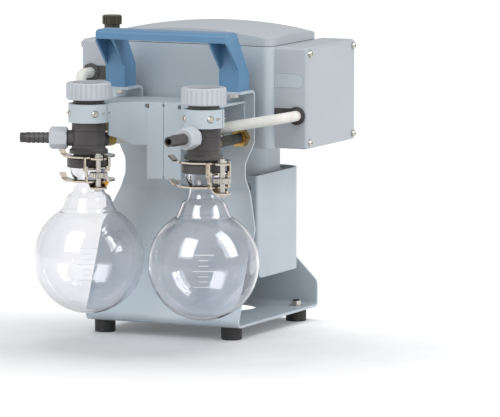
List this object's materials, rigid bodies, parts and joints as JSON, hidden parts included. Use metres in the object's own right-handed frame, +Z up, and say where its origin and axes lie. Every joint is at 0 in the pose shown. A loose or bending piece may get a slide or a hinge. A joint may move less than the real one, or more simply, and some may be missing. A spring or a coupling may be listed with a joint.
{
  "type": "diaphragm vacuum pump",
  "caption": "Chemistry diaphragm vacuum pump: opposed pump heads over a hooded motor on a folded sheet frame, with a bridge handle and separator heads that carry clamped round glass flasks",
  "frame": {"origin": "middle of the overall box on the floor, below the middle of the pump", "axes": "+Z up, -Y to the front where the flasks hang, +X to the right as seen from the front"},
  "size_m": [0.244, 0.2826, 0.295],
  "materials": {
    "housing_paint": "blue-grey powder coat, fine orange peel",
    "cover_paint": "light grey powder coat, fine orange peel",
    "hood_plastic": "pale blue-grey, fine satin grain",
    "handle_plastic": "mid blue moulding, satin",
    "black_plastic": "black glass-filled moulding, satin",
    "grey_plastic": "light grey moulding, satin",
    "rubber": "black rubber, matt",
    "elastomer": "black elastomer with smooth face",
    "steel": "zinc plated fasteners",
    "clamp_steel": "pressed stainless sheet, warm reflections",
    "brass": "plain turned brass",
    "aluminium": "cast, machined on its faces",
    "laminated_steel": "stacked lamination edges",
    "glass": "clear borosilicate glass",
    "hose": "white fluoropolymer hose, waxy",
    "knob_plastic": "dark olive moulding, satin"
  },
  "bodies": {
    "pump": {"bell_housing": "housing_paint", "clamp_rings": "housing_paint", "clamp_screws": "steel", "clamp_upper_forks": "clamp_steel", "cover_backplates": "aluminium", "diaphragm_left": "elastomer", "diaphragm_right": "elastomer", "feet": "rubber", "frame": "housing_paint", "frame_fasteners": "steel", "handle": "handle_plastic", "head_cover_left": "cover_paint", "head_cover_right": "cover_paint", "head_lids": "aluminium", "head_plates": "aluminium", "head_screws": "steel", "hose_inlet": "hose", "hose_nuts": "brass", "hose_outlet": "rubber", "hose_transfer": "hose", "housing_lid": "cover_paint", "inlet_nozzle": "black_plastic", "main_housing": "housing_paint", "mains_inlet": "black_plastic", "motor_case": "aluminium", "motor_hood": "hood_plastic", "neck_plugs": "black_plastic", "outlet_nozzle": "black_plastic", "port_blanks": "hood_plastic", "port_fittings": "black_plastic", "ring_screws": "steel", "separator_bracket_left": "housing_paint", "separator_bracket_right": "housing_paint", "separator_head_left": "black_plastic", "separator_head_right": "black_plastic", "shaft_bearings": "steel", "stator": "laminated_steel", "union_nuts": "grey_plastic", "valve_discs": "elastomer", "vent_grille": "black_plastic"},
    "crank": {"rotor": "laminated_steel", "fan": "black_plastic", "eccentric": "steel"},
    "rod_left": {"connecting_rod_left": "aluminium", "rod_bearing_left": "steel", "clamp_disc_left": "steel"},
    "cap_left": {"screw_cap_left": "grey_plastic"},
    "flask_body_left": {"flask_left": "glass"},
    "fork_left": {"clamp_lower_fork_left": "clamp_steel"},
    "thumb_nut_left": {"clamp_nut_left": "steel"},
    "rod_right": {"connecting_rod_right": "aluminium", "rod_bearing_right": "steel", "clamp_disc_right": "steel"},
    "cap_right": {"screw_cap_right": "grey_plastic"},
    "flask_body_right": {"flask_right": "glass"},
    "fork_right": {"clamp_lower_fork_right": "clamp_steel"},
    "thumb_nut_right": {"clamp_nut_right": "steel"},
    "ballast_knob": {"gas_ballast_knob": "knob_plastic"},
    "rocker": {"power_switch": "black_plastic"}
  },
  "joints": [
    {"name": "motor_spin", "type": "hinge", "parent": "pump", "child": "crank", "pos_m": [0, 0.08283, 0.2255], "axis": [0, 0, 1], "continuous": true},
    {"name": "rod_left_turn", "type": "hinge", "parent": "crank", "child": "rod_left", "pos_m": [0.003, 0.08283, 0.2255], "axis": [0, 0, 1], "continuous": true, "deforming": ["diaphragm_left"]},
    {"name": "cap_left_turn", "type": "hinge", "parent": "pump", "child": "cap_left", "pos_m": [-0.06, -0.07617, 0.227], "axis": [0, 0, 1], "continuous": true},
    {"name": "flask_left_turn", "type": "hinge", "parent": "pump", "child": "flask_body_left", "pos_m": [-0.06, -0.07617, 0.162], "axis": [0, 0, 1], "continuous": true},
    {"name": "fork_left_open", "type": "hinge", "parent": "pump", "child": "fork_left", "pos_m": [-0.0432, -0.094, 0.1635], "axis": [-0.7278, -0.6858, 0], "range_deg": [0, 4]},
    {"name": "thumb_nut_left_turn", "type": "hinge", "parent": "pump", "child": "thumb_nut_left", "pos_m": [-0.03874, -0.09873, 0.1556], "axis": [0, 0, 1], "continuous": true},
    {"name": "rod_right_turn", "type": "hinge", "parent": "crank", "child": "rod_right", "pos_m": [0.003, 0.08283, 0.2255], "axis": [0, 0, 1], "continuous": true, "deforming": ["diaphragm_right"]},
    {"name": "cap_right_turn", "type": "hinge", "parent": "pump", "child": "cap_right", "pos_m": [0.06, -0.07617, 0.227], "axis": [0, 0, 1], "continuous": true},
    {"name": "flask_right_turn", "type": "hinge", "parent": "pump", "child": "flask_body_right", "pos_m": [0.06, -0.07617, 0.162], "axis": [0, 0, 1], "continuous": true},
    {"name": "fork_right_open", "type": "hinge", "parent": "pump", "child": "fork_right", "pos_m": [0.081, -0.08879, 0.1635], "axis": [-0.515, -0.8572, 0], "range_deg": [0, 4]},
    {"name": "thumb_nut_right_turn", "type": "hinge", "parent": "pump", "child": "thumb_nut_right", "pos_m": [0.08657, -0.09213, 0.1556], "axis": [0, 0, 1], "continuous": true},
    {"name": "gas_ballast_turn", "type": "hinge", "parent": "pump", "child": "ballast_knob", "pos_m": [-0.102, 0.05983, 0.274], "axis": [0, 0, 1], "range_deg": [0, 180]},
    {"name": "power_switch_tip", "type": "hinge", "parent": "pump", "child": "rocker", "pos_m": [0.052, 0.12383, 0.235], "axis": [1, 0, 0], "range_deg": [0, 12]}
  ],
  "couplings": [
    {"joint": "rod_left_turn", "follows": "motor_spin", "ratio": -1},
    {"joint": "rod_right_turn", "follows": "motor_spin", "ratio": -1}
  ]
}
